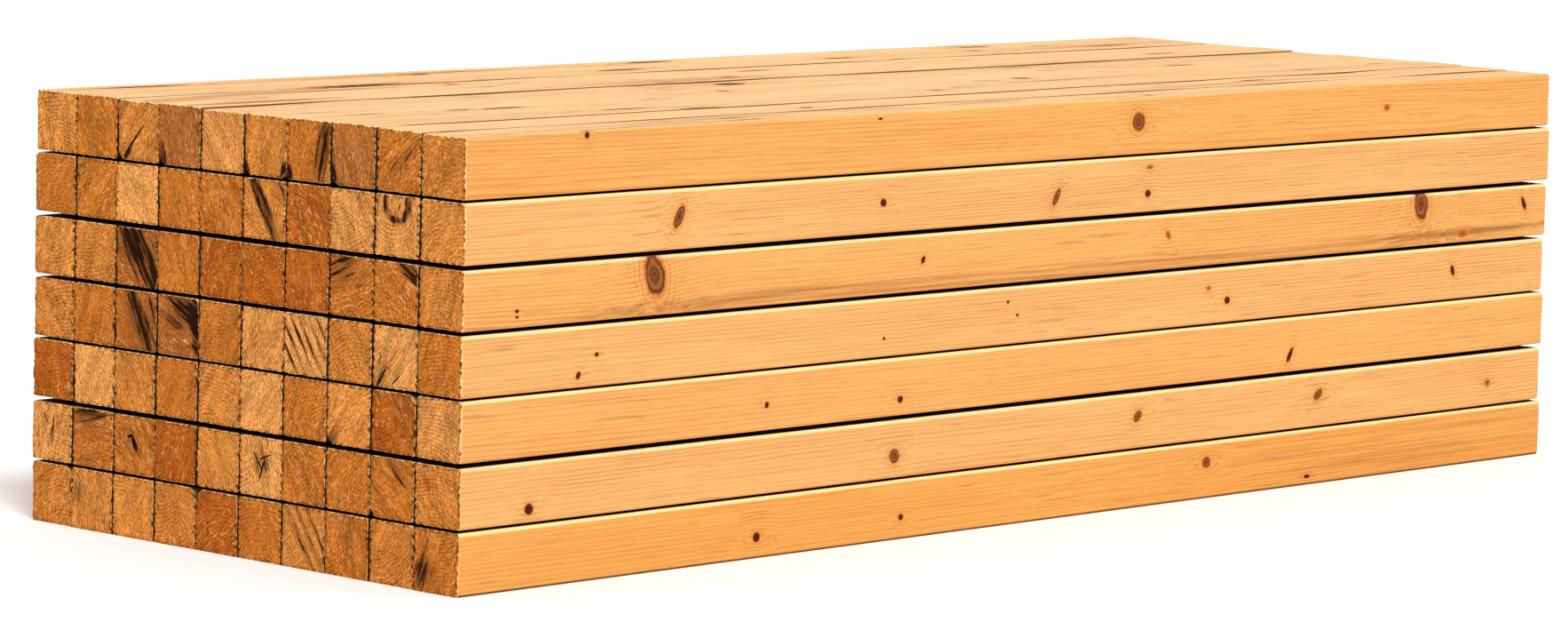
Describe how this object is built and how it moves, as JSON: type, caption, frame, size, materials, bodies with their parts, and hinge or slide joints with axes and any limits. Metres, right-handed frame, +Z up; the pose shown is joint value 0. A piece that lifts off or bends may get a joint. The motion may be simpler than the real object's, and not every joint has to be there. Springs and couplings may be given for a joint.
{
  "type": "stack of lumber",
  "caption": "Close-stacked block of square sawn softwood sticks, laid side by side in flat layers with their ends nearly flush.",
  "frame": {"origin": "middle of the stack's footprint, on the ground", "axes": "+X along the sticks, towards their untrimmed ends; +Y across the stack; +Z up"},
  "size_m": [2.438, 0.8954, 0.6254],
  "materials": {
    "softwood": "matte"
  },
  "bodies": {
    "root": {"layer_1": "softwood", "layer_2": "softwood", "layer_3": "softwood", "layer_4": "softwood", "layer_5": "softwood", "layer_6": "softwood", "layer_7": "softwood"}
  },
  "joints": []
}
